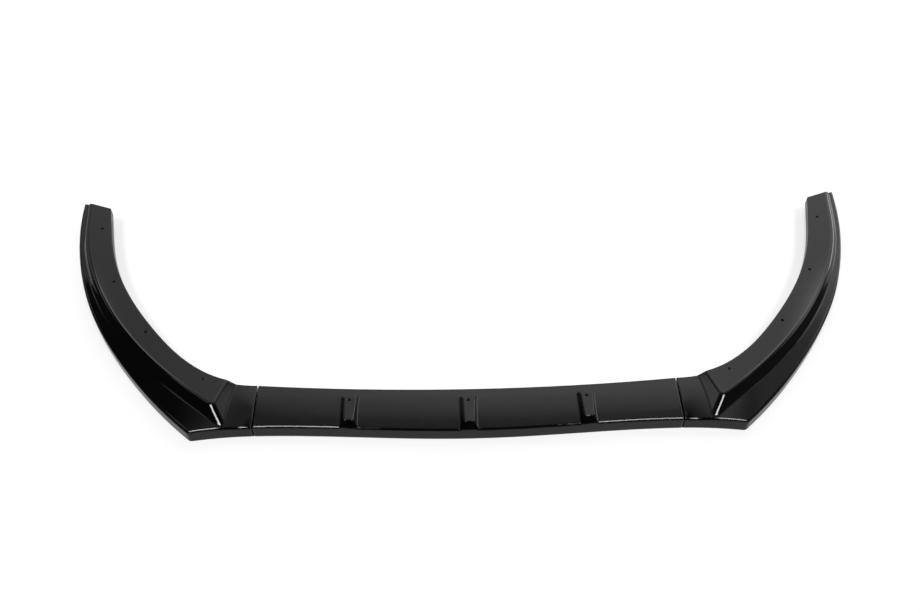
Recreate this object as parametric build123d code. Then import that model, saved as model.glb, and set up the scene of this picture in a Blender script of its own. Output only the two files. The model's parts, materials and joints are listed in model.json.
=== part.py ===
"""Front splitter lip: a moulded centre section with three hollow fins, and two swept wings bolted to it.

Sizes are in millimetres. While the pieces are drawn, Y = 0 is the front of the centre section and +Y runs
back towards the tips, X = 0 is the plane of symmetry and Z = 0 is the floor that the front flange stands on.
They are then moved together, so that the origin is at the bottom centre of the whole lip.
"""
from build123d import *
import math
import os

# Moulded shell
WALL = 3.0
FLANGE_HEIGHT = 26.0
EDGE_RADIUS = 4.5
LIP_DEPTH = 9.0

# Levels: the shelf above the front flange, and the other levels below the shelf
SHELF_RISE = 19.0
REAR_DROP = 9.5
TIP_DROP = 7.0
FIN_DROP = 0.5
DECK_CROWN = 2.2

# Centre section in plan
SEAM_X = 393.0
SEAM_GAP = 2.4
CENTRE_DEPTH = 86.6
FRONT_BOW = 14.5
REAR_BOW = 17.5

# Fins of the centre section, measured at their tops and at the level of the front flange
FIN_PITCH = 218.0
FIN_TOP_REAR_WIDTH = 23.5
FIN_TOP_FRONT_WIDTH = 16.5
FIN_BASE_REAR_WIDTH = 42.0
FIN_BASE_FRONT_WIDTH = 33.0
FIN_TOP_SETBACK = 8.4
FIN_BASE_SETBACK = 0.5
FIN_TOP_FROM_REAR = 24.0
FIN_BASE_FROM_REAR = 10.0
FIN_TOP_FALL = 3.5
FIN_ROOT_DEPTH = 4.6
FIN_CORNER_RADIUS = 3.0
FIN_TOP_RADIUS = 1.8
FIN_HOLE_FROM_REAR = 31.0
FIN_HOLE_DIAMETER = 6.0

# Stations of the right wing, with X measured out from the seam: a point of the front or outer edge, the point
# of the inner edge across from it, the share of the climb from flange level to tip level, and the deck's rise
# from the outer to the inner point and its crown as shares of those at the seam. The front ones run from the
# seam to the corner, and their inner points are measured back from the seam's rear corner.
FRONT_STATIONS = [
    ((51.0, 12.8), (51.0, 9.0), 0.0, 1.0, 1.0),
    ((115.0, 6.0), (82.0, 17.6), 0.0, 1.0, 0.5),
]
SIDE_STATIONS = [
    ((198.0, 83.0), (137.0, 155.0), 0.02, 1.6, 0.15),
    ((268.0, 162.0), (206.0, 222.5), 0.12, 1.5, 0.0),
    ((364.0, 297.0), (296.0, 340.0), 0.42, 1.1, 0.0),
    ((428.0, 434.0), (355.0, 450.0), 0.70, 0.55, 0.0),
    ((472.0, 592.0), (400.0, 587.0), 0.94, 0.16, 0.0),
    ((481.0, 652.0), (410.5, 624.0), 1.0, 0.11, 0.0),
]
CORNER_RADIUS = 10.0
TAIL_START = 400.0
TAIL_LIFT = 12.0

# Raised shelf of the wing: the line from the inner edge, measured from the seam's rear corner, to its nose,
# its outer edge back to the tip, and its walls
SHELF_INBOARD = (62.0, -7.0)
SHELF_NOSE = (76.0, 52.0)
SHELF_EDGE = [(139.0, 99.0), (285.0, 243.0), (392.0, 409.0), (431.0, 506.0), (462.0, 643.0)]
WALL_RUN_PER_DROP = 1.05
INBOARD_RUN_PER_DROP = 1.9
NOSE_RADIUS = 18.0
SHELF_RADIUS = 12.0
FOOT_RADIUS = 3.5
SHELF_HOLES = [(101.5, 117.0), (239.0, 238.5), (339.5, 383.0), (411.0, 554.0)]
SHELF_HOLE_DIAMETER = 7.0

# Bolted joint at each seam, as places behind the front edge and heights above the floor
BOLTS = {"front": (24.0, 14.0), "rear": (60.0, 24.0)}
BOLT_DIAMETER = 5.0
BOLT_CLEARANCE = 0.5
THREAD_CLEARANCE = 0.1
HEX_ACROSS_FLATS = 8.0
HEAD_HEIGHT = 3.5
NUT_HEIGHT = 4.0
BOLT_TAIL = 2.0
PAD_DIAMETER = 13.0
BULKHEAD_TOE = 34.0
BULKHEAD_HEEL = 26.0

# Room left round a shape that is trimmed afterwards, and steps along a curve or across a deck
TRIM = 15.0
OVERRUN = 60.0
CURVE_STEPS = 8
DECK_STEPS = 4

shelf_level = FLANGE_HEIGHT + SHELF_RISE
rear_level = shelf_level - REAR_DROP
tip_level = shelf_level - TIP_DROP
fin_level = shelf_level - FIN_DROP
lip_level = rear_level - LIP_DEPTH
deck_rise = rear_level - FLANGE_HEIGHT
wing_start = SEAM_X + SEAM_GAP / 2
centre_end = SEAM_X - SEAM_GAP / 2
wing_end = SEAM_X + SIDE_STATIONS[-1][0][0]
wing_back = SIDE_STATIONS[-1][0][1]


def front_y(x):
    """Front edge of the centre section: bowed forward in the middle, square to the seams at its ends."""
    return FRONT_BOW * (1 - math.cos(math.pi * x / SEAM_X)) / 2


def rear_y(x):
    """Rear edge of the centre section."""
    return CENTRE_DEPTH + REAR_BOW * (x / SEAM_X) ** 2


def on_wing(point):
    """Plan point of the right wing, from its distance beyond the seam."""
    return Vector(SEAM_X + point[0], point[1])


def from_rear(point):
    """Plan point of the right wing, from its distances beyond and behind the seam's rear corner."""
    return Vector(SEAM_X + point[0], rear_y(SEAM_X) + point[1])


def wing_stations():
    """Stations of the right wing in order, with both of their points in plan."""
    stations = [(on_wing(outer), from_rear(inner), *shares) for outer, inner, *shares in FRONT_STATIONS]
    return stations + [(on_wing(outer), on_wing(inner), *shares) for outer, inner, *shares in SIDE_STATIONS]


def deck_row(outer, inner, outer_level, rise_share, crown_share):
    """Points across the deck from an outer to an inner edge point, and on past both edges."""
    across = inner - outer
    margin = TRIM / across.length
    rise = deck_rise * rise_share
    crown = DECK_CROWN * crown_share
    row = []
    for step in range(DECK_STEPS + 1):
        share = (1 + 2 * margin) * step / DECK_STEPS - margin
        level = outer_level + rise * share + 4 * crown * share * (1 - share)
        row.append(outer + across * share + Vector(0, 0, level))
    return row


def block_below(rows):
    """Solid from the deck surface through rows of points down past the floor."""
    deck = Face.make_surface_from_array_of_points(rows)
    return extrude(deck, amount=shelf_level + OVERRUN, dir=(0, 0, -1))


def upright(plan, bottom, top):
    """Solid with upright sides on a plan."""
    return extrude(Pos(0, 0, bottom) * plan, amount=top - bottom)


def drill(diameter):
    """Upright bar for a screw hole, long enough to pass through the whole lip."""
    return Cylinder(diameter / 2, 4 * shelf_level)


def outward(direction):
    """Level unit vector to the right of a direction, which is away from an outline drawn anticlockwise."""
    return Vector(direction.Y, -direction.X).normalized()


def outline(edges, runs):
    """Face inside edges drawn anticlockwise, with each side moved out by its own run and mitred corners."""
    corners = []
    for index, edge in enumerate(edges):
        first_side = outward(edges[index - 1] % 1)
        second_side = outward(edge % 0)
        first_run = runs[index - 1]
        second_run = runs[index]
        lean = first_side.dot(second_side)
        mitre = first_side * (first_run - lean * second_run) + second_side * (second_run - lean * first_run)
        corners.append(edge @ 0 + mitre / (1 - lean ** 2))
    moved = []
    for edge, run, start, end in zip(edges, runs, corners, corners[1:] + corners[:1]):
        if edge.geom_type == GeomType.LINE:
            moved.append(Line(start, end))
        else:
            shares = [step / CURVE_STEPS for step in range(1, CURVE_STEPS)]
            between = [edge @ share + outward(edge % share) * run for share in shares]
            moved.append(Spline([start] + between + [end]))
    return Face(Wire(moved))


def even_outline(edges, run):
    """Face inside edges drawn anticlockwise, with every side moved out by the same run."""
    return outline(edges, [run] * len(edges))


def edges_between(first, second):
    """Edges that lie between a face of the first group and a face of the second."""
    second_edges = [edge for face in second for edge in face.edges()]
    first_edges = [edge for face in first for edge in face.edges()]
    return [edge for edge in first_edges if any(edge.is_same(other) for other in second_edges)]


def curved_faces(part, least_rise, most_rise):
    """Curved faces with a normal whose upward or downward share lies between two limits."""
    curved = [face for face in part.faces() if face.geom_type != GeomType.PLANE]
    return [face for face in curved if least_rise <= abs(face.normal_at().Z) < most_rise]


def deck_face(part):
    """The deck's own face: the largest curved one that faces nearly up."""
    nearly_up = 0.94
    return max(curved_faces(part, nearly_up, math.inf), key=lambda face: face.area)


def wall_faces(part):
    """Curved faces that slope, other than the deck."""
    nearly_upright = 0.3
    deck = deck_face(part)
    return [face for face in curved_faces(part, nearly_upright, math.inf) if not face.is_same(deck)]


def front_faces(part):
    """Upright curved faces that look forward, along the front edge and the outer edge."""
    upright_limit = 0.05
    return [face for face in curved_faces(part, 0, upright_limit) if face.normal_at().Y < 0]


def bolt_places():
    """Places of the seam's bolts by name, as Y and Z."""
    return {name: (front_y(SEAM_X) + back, height) for name, (back, height) in BOLTS.items()}


def along_x(section, start, end, place):
    """Bar along X on a section drawn in the YZ plane, between two distances from the plane of symmetry."""
    return Pos(start, place[0], place[1]) * extrude(Plane.YZ * section, amount=end - start)


def seam_joint(part, wall_start, wall_end, seam_face):
    """Bulkhead with its lower rear cut away, pads that meet at the seam, and holes for the bolts."""
    toe = front_y(SEAM_X) + BULKHEAD_TOE
    heel = rear_y(SEAM_X)
    behind = heel + TRIM
    corners = [(toe, 0), (heel, BULKHEAD_HEEL), (behind, BULKHEAD_HEEL), (behind, -TRIM), (toe, -TRIM)]
    wedge = Polygon(*corners, align=None)
    part -= along_x(wedge, wall_start, wall_end, (0, 0))
    for place in bolt_places().values():
        part += along_x(Circle(PAD_DIAMETER / 2), min(seam_face, SEAM_X), max(seam_face, SEAM_X), place)
    hole = Circle((BOLT_DIAMETER + BOLT_CLEARANCE) / 2)
    for place in bolt_places().values():
        part -= along_x(hole, SEAM_X - TRIM, SEAM_X + TRIM, place)
    return part


def fin_ring(x, share, margin, drop):
    """Outline of a fin at a share of the way down from its sloping top to the flange level."""
    rear_half = (FIN_TOP_REAR_WIDTH + (FIN_BASE_REAR_WIDTH - FIN_TOP_REAR_WIDTH) * share) / 2 - margin
    front_half = (FIN_TOP_FRONT_WIDTH + (FIN_BASE_FRONT_WIDTH - FIN_TOP_FRONT_WIDTH) * share) / 2 - margin
    front = front_y(x) + FIN_TOP_SETBACK + (FIN_BASE_SETBACK - FIN_TOP_SETBACK) * share + margin
    rear = rear_y(x) - FIN_TOP_FROM_REAR + (FIN_TOP_FROM_REAR - FIN_BASE_FROM_REAR) * share - margin
    rear_height = fin_level - (fin_level - FLANGE_HEIGHT) * share - drop
    front_height = rear_height - FIN_TOP_FALL * (1 - share)
    corners = [(x - front_half, front, front_height), (x + front_half, front, front_height),
               (x + rear_half, rear, rear_height), (x - rear_half, rear, rear_height)]
    return Face(Wire(Polyline(*corners, close=True)))


def fin(x, margin, drop):
    """Tapered fin, taken on below the deck, with its sides moved in and its top moved down."""
    root_share = 1 + FIN_ROOT_DEPTH / (fin_level - FLANGE_HEIGHT)
    return loft([fin_ring(x, root_share, margin, drop), fin_ring(x, 0, margin, drop)], ruled=True)


def rounded_fin(x):
    """Outside of a fin, with its corners and its top edge rounded."""
    shape = fin(x, 0, 0)
    least_rise = fin_level - FLANGE_HEIGHT - FIN_TOP_FALL
    corners = [edge for edge in shape.edges() if abs((edge @ 0).Z - (edge @ 1).Z) > least_rise]
    shape = fillet(corners, FIN_CORNER_RADIUS)
    return fillet(shape.faces().sort_by(Axis.Z)[-1].edges(), FIN_TOP_RADIUS)


def centre_edges():
    """Plan of the centre section, between the two seams."""
    places = [centre_end * step / DECK_STEPS for step in range(-DECK_STEPS, DECK_STEPS + 1)]
    front = Spline([(x, front_y(x)) for x in places])
    rear = Spline([(x, rear_y(x)) for x in reversed(places)])
    return [front, Line(front @ 1, rear @ 0), rear, Line(rear @ 1, front @ 0)]


def centre_block():
    """Solid under the deck of the centre section, carried on past both seams."""
    rows = []
    for step in range(-DECK_STEPS - 1, DECK_STEPS + 2):
        x = SEAM_X * step / DECK_STEPS
        bounded = max(-SEAM_X, min(SEAM_X, x))
        rows.append(deck_row(Vector(x, front_y(bounded)), Vector(x, rear_y(bounded)), FLANGE_HEIGHT, 1, 1))
    return block_below(rows)


def centre_section():
    """Hollow deck with a front flange, a rear lip, a bulkhead at each end and three hollow fins."""
    block = centre_block()
    sides = upright(even_outline(centre_edges(), 0), 0, shelf_level)
    inside_plan = even_outline(centre_edges(), -WALL)
    inside = upright(inside_plan, -TRIM, shelf_level)
    under_lip = upright(Pos(0, TRIM) * inside_plan, -TRIM, lip_level)
    part = block & sides
    part = fillet(edges_between([deck_face(part)], front_faces(part)), EDGE_RADIUS)
    fin_places = [-FIN_PITCH, 0, FIN_PITCH]
    for x in fin_places:
        part += rounded_fin(x) & sides
    part -= (Pos(0, 0, -WALL) * block) & (inside + under_lip)
    for x in fin_places:
        part -= fin(x, WALL, WALL) & inside
        part -= Pos(x, rear_y(x) - FIN_HOLE_FROM_REAR) * drill(FIN_HOLE_DIAMETER)
    part = seam_joint(part, centre_end - WALL, SEAM_X, centre_end)
    return seam_joint(mirror(part, about=Plane.YZ), centre_end - WALL, SEAM_X, centre_end)


def wing_edges():
    """Plan of the right wing: front edge, outer edge, tip, inner edge and seam."""
    outers = [station[0] for station in wing_stations()]
    inners = [station[1] for station in reversed(wing_stations())]
    to_corner = len(FRONT_STATIONS)
    seam_front = Vector(wing_start, front_y(SEAM_X))
    seam_rear = Vector(wing_start, rear_y(SEAM_X))
    front = Spline([seam_front] + outers[:to_corner])
    side = Spline(outers[to_corner - 1:])
    inner = Spline(inners + [seam_rear])
    return [front, side, Line(outers[-1], inners[0]), inner, Line(seam_rear, seam_front)]


def wing_block():
    """Solid under the wing's deck, from inboard of the seam to beyond the tip."""
    rows = []
    for x in (SEAM_X - OVERRUN, SEAM_X):
        rows.append(deck_row(Vector(x, front_y(SEAM_X)), Vector(x, rear_y(SEAM_X)), FLANGE_HEIGHT, 1, 1))
    for outer, inner, climb, rise_share, crown_share in wing_stations():
        level = FLANGE_HEIGHT + (tip_level - FLANGE_HEIGHT) * climb
        rows.append(deck_row(outer, inner, level, rise_share, crown_share))
    beyond = [2 * last - before for last, before in zip(rows[-1], rows[-2])]
    return block_below(rows + [beyond])


def shelf_edges():
    """Plan of the shelf's top: in to its nose, out along its edge past the tip, and back off the wing."""
    nose = on_wing(SHELF_NOSE)
    start = nose + 2 * (from_rear(SHELF_INBOARD) - nose)
    edge_points = [on_wing(point) for point in SHELF_EDGE]
    beyond = edge_points[-1] + (edge_points[-1] - edge_points[-2]).normalized() * OVERRUN
    far = wing_stations()[-1][1] + Vector(-OVERRUN, OVERRUN)
    return [Line(start, nose), Spline([nose] + edge_points + [beyond]), Line(beyond, far), Line(far, start)]


def shelf_block():
    """Raised shelf: sloping outer wall, gentler inboard slope, rounded nose and rolled top edge."""
    depth = SHELF_RISE + WALL
    runs = [depth * INBOARD_RUN_PER_DROP, depth * WALL_RUN_PER_DROP, 0, 0]
    foot = Pos(0, 0, shelf_level - depth) * outline(shelf_edges(), runs)
    top = Pos(0, 0, shelf_level) * even_outline(shelf_edges(), 0)
    block = loft([foot, top], ruled=True)
    nose = on_wing(SHELF_NOSE) + Vector(0, 0, shelf_level)
    slanted = [edge for edge in block.edges() if abs((edge @ 0).Z - (edge @ 1).Z) > WALL]
    block = fillet([min(slanted, key=lambda edge: edge.distance_to(nose))], NOSE_RADIUS)
    top_edges = block.faces().sort_by(Axis.Z)[-1].edges()
    straight = [edge for edge in top_edges if edge.geom_type == GeomType.LINE]
    rolled = [edge for edge in top_edges if edge.geom_type != GeomType.LINE]
    rolled.append(min(straight, key=lambda edge: edge.distance_to(nose)))
    return fillet(rolled, SHELF_RADIUS)


def wing_sides():
    """Upright sides of the wing, with its front corner rounded."""
    sides = upright(even_outline(wing_edges(), 0), 0, shelf_level + TRIM)
    corner = on_wing(FRONT_STATIONS[-1][0])
    edge = min(sides.edges().filter_by(Axis.Z), key=lambda edge: edge.distance_to(corner))
    return fillet([edge], CORNER_RADIUS)


def tail_wedge():
    """Wedge under the wing, from nothing at the start of the tail to the lift at the tip."""
    behind = wing_back + TRIM
    lifted = [(wing_back, TAIL_LIFT), (behind, TAIL_LIFT)]
    corners = [(TAIL_START, 0)] + lifted + [(behind, -TRIM), (TAIL_START, -TRIM)]
    return along_x(Polygon(*corners, align=None), 0, wing_end + TRIM, (0, 0))


def right_wing():
    """Hollow swept wing: a low deck with a deep outer flange, and a raised shelf along its inner edge."""
    block = wing_block() + shelf_block()
    inside_plan = even_outline(wing_edges(), -WALL)
    inside = upright(inside_plan, -TRIM, shelf_level)
    under_lip = upright(Pos(-TRIM, TRIM) * inside_plan, -TRIM, lip_level)
    under_lip &= along_x(Rectangle(4 * wing_back, 4 * shelf_level), wing_start + WALL, wing_end, (0, 0))
    part = block & wing_sides()
    part = fillet(edges_between([deck_face(part)], wall_faces(part)), FOOT_RADIUS)
    part = fillet(edges_between([deck_face(part)], front_faces(part)), EDGE_RADIUS)
    part -= (Pos(0, 0, -WALL) * block) & (inside + under_lip)
    part -= tail_wedge()
    for place in SHELF_HOLES:
        part -= Pos(on_wing(place)) * drill(SHELF_HOLE_DIAMETER)
    return seam_joint(part, SEAM_X, wing_start + WALL, wing_start)


def hexagon():
    """Outline of a bolt's head and of a nut."""
    return RegularPolygon(HEX_ACROSS_FLATS / 2, 6, major_radius=False)


def bolt(place):
    """Bolt along X at the right seam, with its head inside the wing and its end past the nut."""
    head_start = wing_start + WALL
    shank_end = centre_end - WALL - NUT_HEIGHT - BOLT_TAIL
    head = along_x(hexagon(), head_start, head_start + HEAD_HEIGHT, place)
    return head + along_x(Circle(BOLT_DIAMETER / 2), shank_end, head_start, place)


def nut(place):
    """Nut inside the centre section, against its bulkhead."""
    bore = Circle((BOLT_DIAMETER + THREAD_CLEARANCE) / 2)
    return along_x(hexagon() - bore, centre_end - WALL - NUT_HEIGHT, centre_end - WALL, place)


def lip_pieces():
    """Every piece by name, in the frame that they are drawn in."""
    pieces = {"centre_section": centre_section(), "right_wing": right_wing()}
    for name, place in bolt_places().items():
        pieces[f"right_{name}_bolt"] = bolt(place)
        pieces[f"right_{name}_nut"] = nut(place)
    for name in [name for name in pieces if name.startswith("right")]:
        pieces[name.replace("right", "left")] = mirror(pieces[name], about=Plane.YZ)
    return pieces


def export_lip():
    """Moves the pieces to the bottom centre of the whole lip, and writes one file for each."""
    pieces = lip_pieces()
    boxes = [piece.bounding_box() for piece in pieces.values()]
    front = min(box.min.Y for box in boxes)
    back = max(box.max.Y for box in boxes)
    bottom = min(box.min.Z for box in boxes)
    to_origin = Pos(0, -(front + back) / 2, -bottom)
    os.makedirs("parts", exist_ok=True)
    for name, piece in pieces.items():
        export_step(to_origin * piece, f"parts/{name}.step")


export_lip()
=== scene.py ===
"""Looks of the front splitter lip: gloss black mouldings on a white studio floor, seen from above.

Everything is in metres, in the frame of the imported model: X to the right, Y back to the wing tips, Z up.
"""

import json
import logging
import math
from dataclasses import dataclass
from enum import Enum

import bmesh
import bpy
from mathutils import Matrix, Vector

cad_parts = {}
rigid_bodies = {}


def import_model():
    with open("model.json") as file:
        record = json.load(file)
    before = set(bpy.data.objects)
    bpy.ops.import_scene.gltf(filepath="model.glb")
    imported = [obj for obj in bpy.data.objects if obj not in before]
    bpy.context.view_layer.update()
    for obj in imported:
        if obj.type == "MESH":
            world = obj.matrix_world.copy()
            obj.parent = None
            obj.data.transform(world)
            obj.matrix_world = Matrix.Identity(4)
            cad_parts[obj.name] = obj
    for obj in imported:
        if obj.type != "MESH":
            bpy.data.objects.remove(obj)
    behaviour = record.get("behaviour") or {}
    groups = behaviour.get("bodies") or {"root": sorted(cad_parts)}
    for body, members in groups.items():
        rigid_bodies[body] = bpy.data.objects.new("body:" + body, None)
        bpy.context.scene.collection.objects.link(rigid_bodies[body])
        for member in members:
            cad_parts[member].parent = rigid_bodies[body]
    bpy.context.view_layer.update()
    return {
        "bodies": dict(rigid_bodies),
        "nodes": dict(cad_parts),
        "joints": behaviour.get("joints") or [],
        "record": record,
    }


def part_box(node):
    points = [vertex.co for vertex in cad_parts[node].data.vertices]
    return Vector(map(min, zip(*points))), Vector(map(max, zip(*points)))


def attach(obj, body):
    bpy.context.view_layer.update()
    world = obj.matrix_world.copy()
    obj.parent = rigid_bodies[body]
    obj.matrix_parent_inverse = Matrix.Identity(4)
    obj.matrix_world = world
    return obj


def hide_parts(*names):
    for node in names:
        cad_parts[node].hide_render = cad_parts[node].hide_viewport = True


LOG = logging.getLogger("splitter_lip")
MM = 0.001
Colour = tuple[float, float, float, float]
WHITE: Colour = (1.0, 1.0, 1.0, 1.0)
HEX_SIDES = 6
SHARP_EDGE = math.radians(32.0)
WELD_REACH = 0.0005 * MM


class Hand(Enum):
    """Side of the lip, as its front faces the viewer."""

    LEFT = "left"
    RIGHT = "right"

    @property
    def outward(self) -> float:
        """Sign of X on the way out from the plane of symmetry."""
        return 1.0 if self is Hand.RIGHT else -1.0


class Seat(Enum):
    """Place of a bolt at a seam."""

    FRONT = "front"
    REAR = "rear"


class Slot(Enum):
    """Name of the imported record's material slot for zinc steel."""

    ZINC = "zinc_steel"


class NodeBench:
    """Places nodes in one node tree and links them, so that a finish reads as a list of steps."""

    def __init__(self, tree: bpy.types.NodeTree) -> None:
        """Starts on a tree, and clears it."""
        self.tree = tree
        self.tree.nodes.clear()

    def add(self, kind: str, **settings: object) -> bpy.types.Node:
        """Adds one node.

        Args:
            kind: The node's type name in the program.
            settings: Properties to set on the node.

        Returns:
            The new node.
        """
        node = self.tree.nodes.new(kind)
        for name, value in settings.items():
            setattr(node, name, value)
        return node

    def feed(self, socket: bpy.types.NodeSocket, value: object) -> None:
        """Links a socket to another node's output, or sets its plain value.

        Args:
            socket: The input to feed.
            value: An output socket, or a number, colour or vector.
        """
        if isinstance(value, bpy.types.NodeSocket):
            self.tree.links.new(value, socket)
        else:
            socket.default_value = value

    def math(self, operation: str, first: object, second: object = 0.0) -> bpy.types.NodeSocket:
        """Adds one operation on two values.

        Args:
            operation: The name of the operation, such as MULTIPLY.
            first: The first value or socket.
            second: The second value or socket.

        Returns:
            The output socket.
        """
        node = self.add("ShaderNodeMath", operation=operation)
        self.feed(node.inputs[0], first)
        self.feed(node.inputs[1], second)
        return node.outputs[0]

    def total(self, *values: object) -> bpy.types.NodeSocket:
        """Adds up several values or sockets.

        Args:
            values: What is added.

        Returns:
            The output socket of the sum.
        """
        result = values[0]
        for value in values[1:]:
            result = self.math("ADD", result, value)
        return result

    def ramp(
        self, value: object, low: float, high: float, start: float = 0.0, end: float = 1.0
    ) -> bpy.types.NodeSocket:
        """Adds a smooth step from one value to another.

        Args:
            value: The value that is read.
            low: Where the step begins.
            high: Where the step ends.
            start: What it gives at and before its beginning.
            end: What it gives at and after its end.

        Returns:
            The output socket.
        """
        node = self.add("ShaderNodeMapRange", interpolation_type="SMOOTHSTEP")
        for socket, given in zip(node.inputs, (value, low, high, start, end)):
            self.feed(socket, given)
        return node.outputs[0]

    def noise(self, place: object, scale: float, detail: float) -> bpy.types.NodeSocket:
        """Adds a soft noise that runs from about 0.3 to 0.7.

        Args:
            place: The coordinates that it is read at.
            scale: Lumps to each unit of the coordinates.
            detail: How many finer layers it has.

        Returns:
            The output socket.
        """
        node = self.add("ShaderNodeTexNoise")
        self.feed(node.inputs["Vector"], place)
        self.feed(node.inputs["Scale"], scale)
        self.feed(node.inputs["Detail"], detail)
        return node.outputs[0]

    def stretched(
        self, place: object, turn: float, scales: tuple[float, float, float]
    ) -> bpy.types.NodeSocket:
        """Turns coordinates about the upright axis and stretches them.

        Args:
            place: The coordinates to change.
            turn: The turn, in radians.
            scales: Factors along the three axes.

        Returns:
            The output socket of the new coordinates.
        """
        node = self.add("ShaderNodeMapping")
        self.feed(node.inputs["Vector"], place)
        self.feed(node.inputs["Rotation"], (0.0, 0.0, turn))
        self.feed(node.inputs["Scale"], scales)
        return node.outputs[0]

    def blend(self, share: object, first: object, second: object) -> bpy.types.NodeSocket:
        """Adds a mix of two colours.

        Args:
            share: How much of the second colour there is, from 0 to 1.
            first: The first colour or socket.
            second: The second colour or socket.

        Returns:
            The output socket.
        """
        node = self.add("ShaderNodeMix", data_type="RGBA")
        colours = [socket for socket in node.inputs if socket.type == "RGBA"]
        self.feed(node.inputs[0], share)
        self.feed(colours[0], first)
        self.feed(colours[1], second)
        return [socket for socket in node.outputs if socket.type == "RGBA"][0]

    def effect(self, tree: bpy.types.ShaderNodeTree, **inputs: object) -> bpy.types.NodeSocket:
        """Adds a shared effect.

        Args:
            tree: The effect's node group.
            inputs: A value or socket for each of its inputs by name.

        Returns:
            Its only output socket.
        """
        node = self.add("ShaderNodeGroup", node_tree=tree)
        for name, value in inputs.items():
            self.feed(node.inputs[name], value)
        return node.outputs[0]


class Effect:
    """Shader node group that finishes share: some named inputs and one number out."""

    name = "effect"
    inputs: tuple[tuple[str, str], ...] = (("Place", "NodeSocketVector"),)
    output = "Amount"

    def build(self) -> bpy.types.ShaderNodeTree:
        """Makes the node group.

        Returns:
            The group's tree, for use in a material.
        """
        tree = bpy.data.node_groups.new(self.name, "ShaderNodeTree")
        for label, kind in self.inputs:
            tree.interface.new_socket(label, in_out="INPUT", socket_type=kind)
        tree.interface.new_socket(self.output, in_out="OUTPUT", socket_type="NodeSocketFloat")
        bench = NodeBench(tree)
        given = bench.add("NodeGroupInput")
        result = bench.add("NodeGroupOutput")
        bench.feed(result.inputs[0], self.pattern(bench, given.outputs))
        return tree

    def pattern(self, bench: NodeBench, given: bpy.types.bpy_prop_collection) -> bpy.types.NodeSocket:
        """Adds the nodes of the effect.

        Args:
            bench: The group's tree.
            given: The group's inputs, as output sockets by name.

        Returns:
            The socket of the result.
        """
        raise NotImplementedError


@dataclass(frozen=True)
class MouldWaves(Effect):
    """Long shallow waves where a moulding cooled unevenly, with faint orange peel, as a height in metres."""

    name: str = "mould_waves"
    output: str = "Height"
    waves_per_metre: float = 9.0
    wave_height: float = 0.1 * MM
    peel_per_metre: float = 420.0
    peel_height: float = 0.0006 * MM

    def pattern(self, bench: NodeBench, given: bpy.types.bpy_prop_collection) -> bpy.types.NodeSocket:
        """Adds the waves and the orange peel."""
        waves = bench.noise(given["Place"], self.waves_per_metre, detail=1.0)
        peel = bench.noise(given["Place"], self.peel_per_metre, detail=1.0)
        return bench.total(
            bench.math("MULTIPLY", waves, self.wave_height),
            bench.math("MULTIPLY", peel, self.peel_height),
        )


@dataclass(frozen=True)
class MouldGrain(Effect):
    """Spark-eroded grain of the mould's core side, as a height in metres."""

    name: str = "mould_grain"
    output: str = "Height"
    grains_per_metre: float = 1100.0
    grain_height: float = 0.04 * MM

    def pattern(self, bench: NodeBench, given: bpy.types.bpy_prop_collection) -> bpy.types.NodeSocket:
        """Adds the grain."""
        grain = bench.noise(given["Place"], self.grains_per_metre, detail=3.0)
        return bench.math("MULTIPLY", grain, self.grain_height)


@dataclass(frozen=True)
class WipeMarks(Effect):
    """Hair-fine marks from a wiping cloth, in two directions, from 0 to 1."""

    name: str = "wipe_marks"
    turns: tuple[float, float] = (0.45, -0.9)
    across_per_metre: float = 900.0
    along_per_metre: float = 14.0
    mark_edge: tuple[float, float] = (0.6, 0.75)
    patches_per_metre: float = 7.0
    patch_edge: tuple[float, float] = (0.4, 0.65)

    def pattern(self, bench: NodeBench, given: bpy.types.bpy_prop_collection) -> bpy.types.NodeSocket:
        """Adds the marks of both directions, in patches."""
        marks = []
        for turn in self.turns:
            scales = (self.along_per_metre, self.across_per_metre, self.along_per_metre)
            streaks = bench.noise(bench.stretched(given["Place"], turn, scales), scale=1.0, detail=0.0)
            marks.append(bench.ramp(streaks, *self.mark_edge))
        patches = bench.noise(given["Place"], self.patches_per_metre, detail=1.0)
        patches = bench.ramp(patches, *self.patch_edge)
        return bench.math("MULTIPLY", bench.math("MAXIMUM", marks[0], marks[1]), patches)


@dataclass(frozen=True)
class SettledDust(Effect):
    """Fine dust on surfaces that look up, from 0 to 1."""

    name: str = "settled_dust"
    inputs: tuple[tuple[str, str], ...] = (("Place", "NodeSocketVector"), ("Facing", "NodeSocketFloat"))
    specks_per_metre: float = 1600.0
    speck_edge: tuple[float, float] = (0.68, 0.78)
    drifts_per_metre: float = 11.0
    drift_edge: tuple[float, float] = (0.35, 0.7)
    least_drift: float = 0.2
    upward_edge: tuple[float, float] = (0.5, 0.95)

    def pattern(self, bench: NodeBench, given: bpy.types.bpy_prop_collection) -> bpy.types.NodeSocket:
        """Adds specks where the surface looks up."""
        specks = bench.noise(given["Place"], self.specks_per_metre, detail=1.0)
        specks = bench.ramp(specks, *self.speck_edge)
        drifts = bench.noise(given["Place"], self.drifts_per_metre, detail=2.0)
        drifts = bench.ramp(drifts, *self.drift_edge, start=self.least_drift)
        upward = bench.ramp(given["Facing"], *self.upward_edge)
        return bench.math("MULTIPLY", bench.math("MULTIPLY", specks, drifts), upward)


@dataclass(frozen=True)
class Effects:
    """The shared effects' node groups."""

    waves: bpy.types.ShaderNodeTree
    grain: bpy.types.ShaderNodeTree
    wipes: bpy.types.ShaderNodeTree
    dust: bpy.types.ShaderNodeTree

    @classmethod
    def built(cls) -> "Effects":
        """Makes every effect once."""
        return cls(MouldWaves().build(), MouldGrain().build(), WipeMarks().build(), SettledDust().build())


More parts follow.
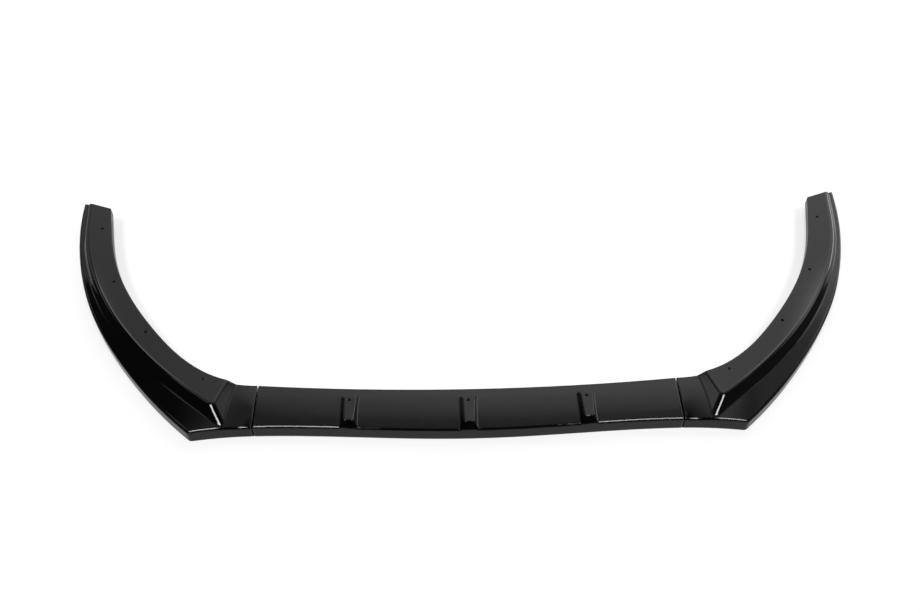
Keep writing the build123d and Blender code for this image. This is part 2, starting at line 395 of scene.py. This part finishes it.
@dataclass(frozen=True)
class ScrewHoles:
    """Places of the screw holes from above, with those of a pair given for the right side."""

    wing: tuple[tuple[float, float], ...] = (
        (0.4945, -0.2090), (0.6320, -0.0875), (0.7325, 0.0570), (0.8040, 0.2280))
    outer_fin: tuple[float, float] = (0.2180, -0.2650)
    middle_fin: tuple[float, float] = (0.0, -0.2704)

    def places(self) -> list[tuple[float, float]]:
        """Every hole's place, on both sides."""
        paired = [(hand.outward * x, y) for hand in Hand for x, y in self.wing + (self.outer_fin,)]
        return [self.middle_fin] + paired


@dataclass(frozen=True)
class GlossBlack:
    """Gloss black moulded plastic, polished on its seen side and satin with a fine grain underneath."""

    name: str = "gloss_black"
    colour: Colour = (0.0014, 0.0014, 0.0015, 1.0)
    streak_colour: Colour = (0.0020, 0.0020, 0.0021, 1.0)
    streak_scales: tuple[float, float, float] = (3.0, 12.0, 12.0)
    streak_edge: tuple[float, float] = (0.35, 0.65)
    edge_radius: float = 4.5 * MM
    edge_samples: int = 8
    hole_clearance: tuple[float, float] = (7.0 * MM, 8.0 * MM)
    dust_colour: Colour = (0.16, 0.155, 0.145, 1.0)
    dust_cover: float = 0.05
    refraction: float = 1.5
    roughness: float = 0.045
    wipe_roughness: float = 0.03
    satin_roughness: float = 0.36
    satin_edge: tuple[float, float] = (-0.6, -0.2)

    def build(self, effects: Effects) -> bpy.types.Material:
        """Makes the material.

        Args:
            effects: The shared effects.

        Returns:
            The material.
        """
        material = bpy.data.materials.new(self.name)
        material.use_nodes = True
        bench = NodeBench(material.node_tree)
        coords = bench.add("ShaderNodeTexCoord")
        place = coords.outputs["Object"]
        facing = bench.add("ShaderNodeSeparateXYZ")
        bench.feed(facing.inputs[0], coords.outputs["Normal"])
        under = bench.ramp(facing.outputs["Z"], *self.satin_edge, start=1.0, end=0.0)
        dust = bench.effect(effects.dust, Place=place, Facing=facing.outputs["Z"])
        wipes = bench.effect(effects.wipes, Place=place)
        flow = bench.noise(bench.stretched(place, 0.0, self.streak_scales), scale=1.0, detail=3.0)
        pigment = bench.blend(bench.ramp(flow, *self.streak_edge), self.colour, self.streak_colour)
        cover = bench.math("MULTIPLY", dust, self.dust_cover)
        shader = bench.add("ShaderNodeBsdfPrincipled")
        bench.feed(shader.inputs["Base Color"], bench.blend(cover, pigment, self.dust_colour))
        roughness = bench.total(
            bench.math("MULTIPLY", wipes, self.wipe_roughness),
            bench.math("MULTIPLY", under, self.satin_roughness),
            self.roughness,
        )
        bench.feed(shader.inputs["Roughness"], roughness)
        bench.feed(shader.inputs["IOR"], self.refraction)
        grain = bench.math("MULTIPLY", bench.effect(effects.grain, Place=place), under)
        waves = bench.effect(effects.waves, Place=place)
        bump = bench.add("ShaderNodeBump")
        bench.feed(bump.inputs["Distance"], 1.0)
        bench.feed(bump.inputs["Height"], bench.math("ADD", waves, grain))
        bench.feed(bump.inputs["Normal"], self.soft_edges(bench, place))
        bench.feed(shader.inputs["Normal"], bump.outputs[0])
        output = bench.add("ShaderNodeOutputMaterial")
        bench.feed(output.inputs["Surface"], shader.outputs[0])
        return material

    def soft_edges(self, bench: NodeBench, place: bpy.types.NodeSocket) -> bpy.types.NodeSocket:
        """Adds normals that soften the light on edges, except at the drilled screw holes, which are sharp.

        Args:
            bench: The material's tree.
            place: The coordinates on the moulding.

        Returns:
            The output socket of the normals.
        """
        rounded = bench.add("ShaderNodeBevel", samples=self.edge_samples)
        bench.feed(rounded.inputs["Radius"], self.edge_radius)
        own = bench.add("ShaderNodeNewGeometry")
        flat = bench.add("ShaderNodeVectorMath", operation="MULTIPLY")
        bench.feed(flat.inputs[0], place)
        bench.feed(flat.inputs[1], (1.0, 1.0, 0.0))
        reaches = []
        for x, y in ScrewHoles().places():
            reach = bench.add("ShaderNodeVectorMath", operation="DISTANCE")
            bench.feed(reach.inputs[0], flat.outputs[0])
            bench.feed(reach.inputs[1], (x, y, 0.0))
            reaches.append(reach.outputs["Value"])
        nearest = reaches[0]
        for other in reaches[1:]:
            nearest = bench.math("MINIMUM", nearest, other)
        mixed = bench.add("ShaderNodeMix", data_type="VECTOR")
        sharp, soft = [socket for socket in mixed.inputs if socket.type == "VECTOR"][-2:]
        bench.feed(mixed.inputs[0], bench.ramp(nearest, *self.hole_clearance))
        bench.feed(sharp, own.outputs["Normal"])
        bench.feed(soft, rounded.outputs[0])
        return [socket for socket in mixed.outputs if socket.type == "VECTOR"][0]


@dataclass(frozen=True)
class ZincPlate:
    """Bright zinc plate with a faint blue and straw passivation, and marks of the rolled steel under it."""

    name: str = "zinc_plate"
    colour: Colour = (0.62, 0.63, 0.65, 1.0)
    straw_colour: Colour = (0.66, 0.61, 0.50, 1.0)
    roughness: float = 0.26
    wipe_roughness: float = 0.12
    spangle_per_metre: float = 700.0
    straw_edge: tuple[float, float] = (0.4, 0.65)
    grain_strength: float = 0.3

    def build(self, effects: Effects) -> bpy.types.Material:
        """Makes the material.

        Args:
            effects: The shared effects.

        Returns:
            The material.
        """
        material = bpy.data.materials.new(self.name)
        material.use_nodes = True
        bench = NodeBench(material.node_tree)
        place = bench.add("ShaderNodeTexCoord").outputs["Object"]
        spangle = bench.noise(place, self.spangle_per_metre, detail=2.0)
        tint = bench.ramp(spangle, *self.straw_edge)
        wipes = bench.effect(effects.wipes, Place=place)
        shader = bench.add("ShaderNodeBsdfPrincipled")
        bench.feed(shader.inputs["Base Color"], bench.blend(tint, self.colour, self.straw_colour))
        bench.feed(shader.inputs["Metallic"], 1.0)
        uneven = bench.math("MULTIPLY", wipes, self.wipe_roughness)
        bench.feed(shader.inputs["Roughness"], bench.math("ADD", uneven, self.roughness))
        bump = bench.add("ShaderNodeBump")
        bench.feed(bump.inputs["Strength"], self.grain_strength)
        bench.feed(bump.inputs["Distance"], 1.0)
        bench.feed(bump.inputs["Height"], bench.effect(effects.grain, Place=place))
        bench.feed(shader.inputs["Normal"], bump.outputs[0])
        output = bench.add("ShaderNodeOutputMaterial")
        bench.feed(output.inputs["Surface"], shader.outputs[0])
        return material


@dataclass(frozen=True)
class PhotoCamera:
    """Camera at the photograph's place, worked out from the lip's corners and holes."""

    place: tuple[float, float, float] = (-0.0335, -1.2037, 1.2565)
    tilt_down: float = math.radians(46.0)
    pan_right: float = math.radians(1.146)
    roll: float = math.radians(0.210)
    focal_pixels: float = 830.0
    frame_pixels: float = 920.0
    sensor_mm: float = 36.0
    far_limit: float = 50.0

    def build(self) -> bpy.types.Object:
        """Makes the camera, and makes it the scene's own.

        Returns:
            The camera object.
        """
        data = bpy.data.cameras.new("photo_camera")
        data.sensor_fit = "HORIZONTAL"
        data.sensor_width = self.sensor_mm
        data.lens = self.focal_pixels / self.frame_pixels * self.sensor_mm
        data.clip_end = self.far_limit
        camera = bpy.data.objects.new("photo_camera", data)
        bpy.context.scene.collection.objects.link(camera)
        turn = Matrix.Rotation(-self.pan_right, 4, "Z")
        turn = turn @ Matrix.Rotation(math.pi / 2 - self.tilt_down, 4, "X")
        turn = turn @ Matrix.Rotation(-self.roll, 4, "Z")
        camera.matrix_world = Matrix.Translation(Vector(self.place)) @ turn
        bpy.context.scene.camera = camera
        return camera


@dataclass(frozen=True)
class RoomPanel:
    """Glowing stretch of the room's walls or ceiling, as a span of directions seen from the lip, in degrees.

    Azimuth is measured from straight behind the lip, positive to the right. Elevation is above the floor.
    A panel with an inner edge also ends where a direction points less to a side than that share of it.
    """

    name: str
    azimuth: tuple[float, float]
    elevation: tuple[float, float]
    glow: float
    softness: tuple[float, float]
    inner_edge: float = 0.0
    inner_softness: float = 0.025

    def mask(
        self, bench: NodeBench, azimuth: object, elevation: object, sideways: object
    ) -> bpy.types.NodeSocket:
        """Adds the nodes that give the panel's glow in a direction.

        Args:
            bench: The tree to add to.
            azimuth: The direction's azimuth, in radians.
            elevation: The direction's elevation, in radians.
            sideways: How far the direction points to a side, from 0 to 1.

        Returns:
            The glow's output socket.
        """
        masks = []
        for angle, span, soft in zip((azimuth, elevation), (self.azimuth, self.elevation), self.softness):
            low, high = (math.radians(limit) for limit in span)
            half = math.radians(soft) / 2
            rising = bench.ramp(angle, low - half, low + half)
            falling = bench.ramp(angle, high - half, high + half, start=1.0, end=0.0)
            masks.append(bench.math("MULTIPLY", rising, falling))
        if self.inner_edge > 0.0:
            half = self.inner_softness / 2
            masks.append(bench.ramp(sideways, self.inner_edge - half, self.inner_edge + half))
        glow = self.glow
        for mask in masks:
            glow = bench.math("MULTIPLY", mask, glow)
        glow.node.label = self.name
        return glow


@dataclass(frozen=True)
class Studio:
    """White floor in a dim room with pale walls behind the lip and bright lamps in front of it."""

    floor_half_size: float = 8.0
    floor_colour: Colour = (0.45, 0.45, 0.45, 1.0)
    floor_glow: float = 0.62
    mirrored_share: float = 0.3
    level: float = 0.8
    dim: float = 0.02
    panels: tuple[RoomPanel, ...] = (
        RoomPanel("back_wall", (-36.0, 40.0), (10.0, 57.0), 0.68, (5.0, 14.0)),
        RoomPanel("back_right_glow", (-14.0, 40.0), (10.0, 66.0), 0.55, (44.0, 22.0)),
        RoomPanel("upper_wall", (-30.0, 42.0), (50.0, 70.0), 0.4, (16.0, 14.0)),
        RoomPanel("ceiling", (-60.0, 60.0), (58.0, 95.0), 0.33, (24.0, 12.0)),
        RoomPanel("left_edge_light", (-39.0, -31.0), (39.0, 51.0), 2.2, (3.0, 3.0)),
        RoomPanel("right_edge_light", (32.5, 43.0), (39.5, 50.0), 2.0, (3.0, 4.0)),
        RoomPanel("left_roll_light", (-60.0, -50.0), (29.0, 38.0), 0.5, (4.0, 3.0)),
        RoomPanel("right_roll_light", (53.0, 74.0), (26.0, 41.0), 1.0, (4.0, 4.0)),
        RoomPanel("left_wall", (-62.0, -36.0), (8.0, 35.0), 0.45, (8.0, 6.0)),
        RoomPanel("left_slope_light", (-66.0, -53.0), (50.0, 60.0), 1.2, (0.8, 3.0)),
        RoomPanel("right_wall", (38.0, 70.0), (-8.0, 41.0), 0.5, (8.0, 6.0)),
        RoomPanel("right_window", (48.0, 66.0), (4.0, 17.0), 3.5, (3.0, 3.0)),
        RoomPanel("right_wall_glow", (36.0, 60.0), (24.0, 41.0), 0.6, (10.0, 10.0)),
        RoomPanel("right_upper_wall", (40.0, 64.0), (40.0, 52.0), 0.4, (6.0, 8.0)),
        RoomPanel("right_slope_light", (54.4, 66.0), (49.6, 60.0), 0.7, (0.8, 1.6)),
        RoomPanel("right_end", (70.0, 125.0), (-8.0, 60.0), 0.06, (10.0, 10.0)),
        RoomPanel("left_lamp", (-166.0, -112.0), (62.0, 84.0), 21.0, (6.0, 4.0), inner_edge=0.155),
        RoomPanel("right_lamp", (112.0, 162.0), (62.0, 84.0), 22.0, (6.0, 4.0), inner_edge=0.192),
    )

    def build(self) -> None:
        """Makes the floor and the room."""
        bpy.context.scene.view_settings.view_transform = "Standard"
        self.floor()
        self.room()

    def floor(self) -> None:
        """Makes the pale floor, which looks white but dims the light that it sends to the lip."""
        bpy.ops.mesh.primitive_plane_add(size=2 * self.floor_half_size)
        floor = bpy.context.object
        floor.name = "studio_floor"
        material = bpy.data.materials.new("white_floor")
        material.use_nodes = True
        bench = NodeBench(material.node_tree)
        diffuse = bench.add("ShaderNodeBsdfDiffuse")
        bench.feed(diffuse.inputs["Color"], self.floor_colour)
        path = bench.add("ShaderNodeLightPath")
        mirrored = bench.math("MULTIPLY", path.outputs["Is Glossy Ray"], self.mirrored_share)
        seen = bench.math("MAXIMUM", path.outputs["Is Camera Ray"], path.outputs["Is Transmission Ray"])
        seen = bench.math("MAXIMUM", seen, mirrored)
        glow = bench.add("ShaderNodeEmission")
        bench.feed(glow.inputs["Strength"], bench.math("MULTIPLY", seen, self.floor_glow))
        both = bench.add("ShaderNodeAddShader")
        bench.feed(both.inputs[0], diffuse.outputs[0])
        bench.feed(both.inputs[1], glow.outputs[0])
        output = bench.add("ShaderNodeOutputMaterial")
        bench.feed(output.inputs["Surface"], both.outputs[0])
        floor.data.materials.append(material)

    def room(self) -> None:
        """Makes the room's light from its panels, with a white background for the camera."""
        world = bpy.data.worlds.new("room")
        world.use_nodes = True
        bpy.context.scene.world = world
        bench = NodeBench(world.node_tree)
        place = bench.add("ShaderNodeTexCoord")
        parts = bench.add("ShaderNodeSeparateXYZ")
        bench.feed(parts.inputs[0], place.outputs["Generated"])
        azimuth = bench.math("ARCTAN2", parts.outputs["X"], parts.outputs["Y"])
        elevation = bench.math("ARCSINE", parts.outputs["Z"])
        sideways = bench.math("ABSOLUTE", parts.outputs["X"])
        masks = [panel.mask(bench, azimuth, elevation, sideways) for panel in self.panels]
        light = bench.total(self.dim, *masks)
        light = bench.math("MULTIPLY", light, self.level)
        path = bench.add("ShaderNodeLightPath")
        strength = bench.math("MAXIMUM", light, path.outputs["Is Camera Ray"])
        background = bench.add("ShaderNodeBackground")
        bench.feed(background.inputs["Color"], WHITE)
        bench.feed(background.inputs["Strength"], strength)
        output = bench.add("ShaderNodeOutputWorld")
        bench.feed(output.inputs["Surface"], background.outputs[0])


@dataclass(frozen=True)
class ShadePads:
    """Painted shade: near-black pads on the floor that stand in for the shade under the lip, seen through
    the screw holes and the seams.
    """

    height: float = 0.3 * MM
    pad_radius: float = 4.5 * MM
    pad_sides: int = 24
    hole_height: float = 43.5 * MM
    viewpoint: tuple[float, float, float] = (-0.03, -1.20, 1.26)
    seam_x: float = 397.0 * MM
    strip_width: float = 12.0 * MM
    strip_ends: tuple[float, float] = (-0.3105, -0.224)
    # Near-black of the painted shade under the lip.
    colour: Colour = (0.004, 0.004, 0.004, 1.0)

    def build(self) -> bpy.types.Object:
        """Makes the pads and strips as one mesh.

        Returns:
            The pads.
        """
        shape = bmesh.new()
        for x, y in ScrewHoles().places():
            place = Matrix.Translation(self.seen_through(x, y))
            bmesh.ops.create_circle(
                shape, cap_ends=True, segments=self.pad_sides, radius=self.pad_radius, matrix=place)
        # Strips under the seams: painted shade seen through the seam gaps.
        start, end = self.strip_ends
        for hand in Hand:
            place = Matrix.Translation((hand.outward * self.seam_x, (start + end) / 2, self.height))
            size = Matrix.Diagonal((self.strip_width, end - start, 1.0, 1.0))
            bmesh.ops.create_grid(shape, x_segments=1, y_segments=1, size=0.5, matrix=place @ size)
        mesh = bpy.data.meshes.new("shade_pads")
        shape.to_mesh(mesh)
        shape.free()
        mesh.materials.append(self.finish())
        pads = bpy.data.objects.new("shade_pads", mesh)
        bpy.context.scene.collection.objects.link(pads)
        return pads

    def seen_through(self, x: float, y: float) -> Vector:
        """Place on the floor that is seen through a screw hole from the photograph's viewpoint.

        Args:
            x: The hole's place across the lip.
            y: The hole's place from front to back.

        Returns:
            The middle of the hole's pad.
        """
        eye = Vector(self.viewpoint)
        ray = Vector((x, y, self.hole_height)) - eye
        return eye + ray * ((self.height - eye.z) / ray.z)

    def finish(self) -> bpy.types.Material:
        """Makes the pads' dull black, the painted shade under the lip."""
        material = bpy.data.materials.new("painted_shade_black")
        material.use_nodes = True
        bench = NodeBench(material.node_tree)
        diffuse = bench.add("ShaderNodeBsdfDiffuse")
        bench.feed(diffuse.inputs["Color"], self.colour)
        output = bench.add("ShaderNodeOutputMaterial")
        bench.feed(output.inputs["Surface"], diffuse.outputs[0])
        return material


def finished_piece(
    shape: bmesh.types.BMesh, node: str, finish: bpy.types.Material
) -> bpy.types.Object:
    """Turns a built shape into a piece that stands for a CAD node.

    Args:
        shape: The built shape, in place. It is freed.
        node: The CAD node that the piece replaces, which also names it.
        finish: The material.

    Returns:
        The piece.
    """
    bmesh.ops.remove_doubles(shape, verts=shape.verts, dist=WELD_REACH)
    bmesh.ops.recalc_face_normals(shape, faces=shape.faces)
    for face in shape.faces:
        face.smooth = True
    for edge in shape.edges:
        edge.smooth = edge.calc_face_angle(0.0) < SHARP_EDGE
    mesh = bpy.data.meshes.new(f"{node}_detail")
    shape.to_mesh(mesh)
    shape.free()
    mesh.materials.append(finish)
    piece = bpy.data.objects.new(f"{node}_detail", mesh)
    bpy.context.scene.collection.objects.link(piece)
    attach(piece, "root")
    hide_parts(node)
    return piece


@dataclass(frozen=True)
class SeamFastener:
    """Hex bolt and nut of one place at one seam, with the bolt's head inside the wing."""

    hand: Hand
    seat: Seat
    across_flats: float = 8.0 * MM
    head_height: float = 3.5 * MM
    washer_radius: float = 3.76 * MM
    dish_rim: float = 1.17 * MM
    dish_depth: float = 0.225 * MM
    core_radius: float = 2.05 * MM
    crest_radius: float = 2.48 * MM
    pitch: float = 0.8 * MM
    steps_per_turn: int = 24
    chamfer: float = 0.45 * MM
    chamfer_steps: int = 2
    washer_height: float = 0.3 * MM
    plain_neck: float = 1.5 * MM
    root_sink: float = 0.05 * MM
    tooth_flanks: tuple[float, float, float, float] = (0.0, 0.4, 0.52, 0.92)
    bore_radius: float = 2.56 * MM
    countersink: float = 0.35 * MM
    cuts_per_flat: int = 7
    rim_angle: float = math.radians(80.0)

    @property
    def corner_radius(self) -> float:
        """Distance from the axis to a corner of the hexagon."""
        return self.across_flats / math.sqrt(3.0)

    def node(self, kind: str) -> str:
        """Name of the bolt's or the nut's CAD node."""
        return f"{self.hand.value}_{self.seat.value}_{kind}"

    def inner_end(self, node: str) -> Matrix:
        """Frame at a CAD node's end nearest the plane of symmetry, with its Z outward along the axis.

        Args:
            node: The CAD node.

        Returns:
            The frame's matrix.
        """
        low, high = (Vector(corner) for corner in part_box(node))
        near = low.x if self.hand is Hand.RIGHT else high.x
        middle = (low + high) / 2
        place = Vector((near, middle.y, middle.z))
        return Matrix.Translation(place) @ Matrix.Rotation(self.hand.outward * math.pi / 2, 4, "Y")

    def length(self, node: str) -> float:
        """Length of a CAD node along the axis."""
        low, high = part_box(node)
        return high[0] - low[0]

    def rod(
        self, shape: bmesh.types.BMesh, frame: Matrix, start: float, end: float, radii: tuple[float, float]
    ) -> None:
        """Adds a closed round bar, which may taper.

        Args:
            shape: The shape to add to.
            frame: The frame whose Z axis the bar follows.
            start: Where the bar begins along that axis.
            end: Where it ends.
            radii: Its radius at each end.
        """
        middle = frame @ Matrix.Translation((0.0, 0.0, (start + end) / 2))
        bmesh.ops.create_cone(
            shape, cap_ends=True, segments=2 * self.steps_per_turn,
            radius1=radii[0], radius2=radii[1], depth=end - start, matrix=middle)

    def head(self, shape: bmesh.types.BMesh, frame: Matrix, start: float, end: float) -> None:
        """Adds the hex head with chamfered edges and a shallow dish in its end.

        Args:
            shape: The shape to add to.
            frame: The frame whose Z axis the bolt follows.
            start: Where the head's washer face begins along that axis.
            end: Where the head ends.
        """
        base = start + self.washer_height
        self.rod(shape, frame, start, base, (self.washer_radius, self.washer_radius))
        foot = frame @ Matrix.Translation((0.0, 0.0, base))
        ring = bmesh.ops.create_circle(
            shape, cap_ends=True, segments=HEX_SIDES, radius=self.corner_radius, matrix=foot)
        cap = ring["verts"][0].link_faces[0]
        grown = bmesh.ops.extrude_face_region(shape, geom=[cap], use_keep_orig=True)["geom"]
        top = [item for item in grown if isinstance(item, bmesh.types.BMFace)][0]
        turn = frame.to_3x3()
        bmesh.ops.translate(shape, verts=top.verts, vec=turn @ Vector((0.0, 0.0, end - base)))
        dish = bmesh.ops.inset_region(shape, faces=[top], thickness=self.dish_rim)["faces"]
        bmesh.ops.translate(shape, verts=top.verts, vec=turn @ Vector((0.0, 0.0, -self.dish_depth)))
        rim = {edge for face in dish for edge in face.edges} - set(top.edges)
        rim = [edge for edge in rim if not all(face in dish for face in edge.link_faces)]
        self.chamfered(shape, rim, self.chamfer)

    def chamfered(self, shape: bmesh.types.BMesh, edges: list[bmesh.types.BMEdge], width: float) -> None:
        """Rounds off some edges.

        Args:
            shape: The shape that they are on.
            edges: The edges.
            width: How far the rounding reaches from each edge.
        """
        bmesh.ops.bevel(
            shape, geom=edges, offset=width, segments=self.chamfer_steps,
            profile=0.5, affect="EDGES", material=-1)

    def thread(self, shape: bmesh.types.BMesh, frame: Matrix, start: float, end: float) -> None:
        """Adds the ridge of the thread as a tooth that winds round the core.

        Args:
            shape: The shape to add to.
            frame: The frame whose Z axis the bolt follows.
            start: Where the thread begins along that axis.
            end: Where it ends.
        """
        turns = int((end - start) / self.pitch) - 1
        root = self.core_radius - self.root_sink
        tooth = zip((root, self.crest_radius, self.crest_radius, root), self.tooth_flanks)
        corners = [frame @ Vector((radius, 0.0, start + along * self.pitch)) for radius, along in tooth]
        verts = [shape.verts.new(corner) for corner in corners]
        edges = [shape.edges.new(pair) for pair in zip(verts, verts[1:])]
        axis = frame.to_3x3() @ Vector((0.0, 0.0, 1.0))
        climb = axis * (self.pitch / self.steps_per_turn)
        bmesh.ops.spin(
            shape, geom=verts + edges, cent=frame.to_translation(), axis=axis, dvec=climb,
            angle=turns * 2 * math.pi, steps=turns * self.steps_per_turn)

    def bolt(self, finish: bpy.types.Material) -> bpy.types.Object:
        """Makes the bolt.

        Args:
            finish: The material.

        Returns:
            The piece.
        """
        node = self.node("bolt")
        frame = self.inner_end(node)
        length = self.length(node)
        neck = length - self.head_height
        shape = bmesh.new()
        self.head(shape, frame, neck, length)
        self.rod(shape, frame, neck - self.plain_neck, neck, (self.crest_radius, self.crest_radius))
        self.rod(shape, frame, self.chamfer, neck - self.plain_neck, (self.core_radius, self.core_radius))
        self.rod(shape, frame, 0.0, self.chamfer, (self.core_radius - self.chamfer, self.core_radius))
        self.thread(shape, frame, 2 * self.chamfer, neck - self.plain_neck)
        return finished_piece(shape, node, finish)

    def nut(self, finish: bpy.types.Material) -> bpy.types.Object:
        """Makes the nut, with chamfered edges and a countersunk bore.

        Args:
            finish: The material.

        Returns:
            The piece.
        """
        node = self.node("nut")
        frame = self.inner_end(node)
        shape = bmesh.new()
        hexagon = bmesh.ops.create_circle(
            shape, segments=HEX_SIDES, radius=self.corner_radius, matrix=frame)
        sides = list({edge for vert in hexagon["verts"] for edge in vert.link_edges})
        bmesh.ops.subdivide_edges(shape, edges=sides, cuts=self.cuts_per_flat)
        outer = list(shape.edges)
        bore_sides = HEX_SIDES * (self.cuts_per_flat + 1)
        bore = bmesh.ops.create_circle(shape, segments=bore_sides, radius=self.bore_radius, matrix=frame)
        inner = list({edge for vert in bore["verts"] for edge in vert.link_edges})
        washer = bmesh.ops.bridge_loops(shape, edges=outer + inner)["faces"]
        grown = bmesh.ops.extrude_face_region(shape, geom=washer, use_keep_orig=True)["geom"]
        moved = [item for item in grown if isinstance(item, bmesh.types.BMVert)]
        bmesh.ops.translate(shape, verts=moved, vec=frame.to_3x3() @ Vector((0.0, 0.0, self.length(node))))
        bmesh.ops.recalc_face_normals(shape, faces=shape.faces)
        rims = [edge for edge in shape.edges if edge.calc_face_angle(0.0) > self.rim_angle]
        self.chamfered(shape, rims, self.countersink)
        return finished_piece(shape, node, finish)

    def build(self, finish: bpy.types.Material) -> list[bpy.types.Object]:
        """Makes the bolt and the nut.

        Args:
            finish: The material of both.

        Returns:
            The two pieces.
        """
        return [self.bolt(finish), self.nut(finish)]


@dataclass(frozen=True)
class Moulding:
    """Moulded shell that is shown as its CAD node."""

    node: str

    def dress(self, frame: dict, finish: bpy.types.Material) -> bpy.types.Object:
        """Gives the node its finish.

        Args:
            frame: The loaded frame.
            finish: The material.

        Returns:
            The node's object.
        """
        shown = frame["nodes"][self.node]
        shown.data.materials.clear()
        shown.data.materials.append(finish)
        return shown


@dataclass(frozen=True)
class CentreSection(Moulding):
    """Shallow deck with three hollow fins."""

    node: str = "centre_section"


@dataclass(frozen=True)
class Wing(Moulding):
    """Swept wing with its raised shelf."""

    @classmethod
    def of(cls, hand: Hand) -> "Wing":
        """The wing of one side."""
        return cls(node=f"{hand.value}_wing")


def main() -> None:
    """Builds the scene in order."""
    logging.basicConfig(level=logging.INFO, format="%(message)s")
    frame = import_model()
    PhotoCamera().build()
    Studio().build()
    effects = Effects.built()
    gloss = GlossBlack().build(effects)
    zinc = ZincPlate().build(effects)
    mouldings = [CentreSection(), Wing.of(Hand.LEFT), Wing.of(Hand.RIGHT)]
    for moulding in mouldings:
        LOG.info("dressed %s", moulding.dress(frame, gloss).name)
    # Painted shade under the lip, seen through the screw holes and the seams.
    ShadePads().build()
    for hand in Hand:
        for seat in Seat:
            for piece in SeamFastener(hand, seat).build(zinc):
                LOG.info("built %s with %d faces", piece.name, len(piece.data.polygons))


if __name__ == "__main__":
    main()
